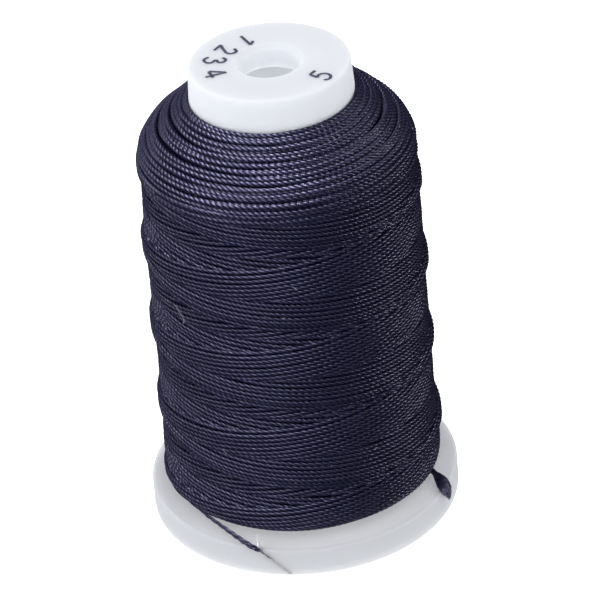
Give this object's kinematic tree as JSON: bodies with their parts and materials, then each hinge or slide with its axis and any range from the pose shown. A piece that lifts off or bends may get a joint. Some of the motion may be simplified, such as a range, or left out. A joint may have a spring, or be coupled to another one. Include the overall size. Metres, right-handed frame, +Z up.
{
  "type": "spool of thread",
  "caption": "Spool of sewing thread: hollow white barrel with a pin hole, soft translucent foot flange with a thread catch, and cross-wound dark navy thread parked in the catch.",
  "frame": {"origin": "centre of the ring that the foot flange stands on", "axes": "+Z up along the spool's axis from the foot flange to the nose; the thread catch in the flange's rim faces -Y"},
  "size_m": [0.0318, 0.0318, 0.0508],
  "materials": {
    "barrel_plastic": "smooth bluish white moulded plastic, opaque, low gloss",
    "flange_plastic": "soft translucent natural plastic, waxy satin",
    "thread": "dark navy plied sewing thread with a purple sheen"
  },
  "bodies": {
    "root": {"spool_barrel": "barrel_plastic", "base_flange": "flange_plastic", "inner_winding": "thread", "outer_winding": "thread", "thread_running_end": "thread", "thread_starting_tail": "thread"}
  },
  "joints": []
}
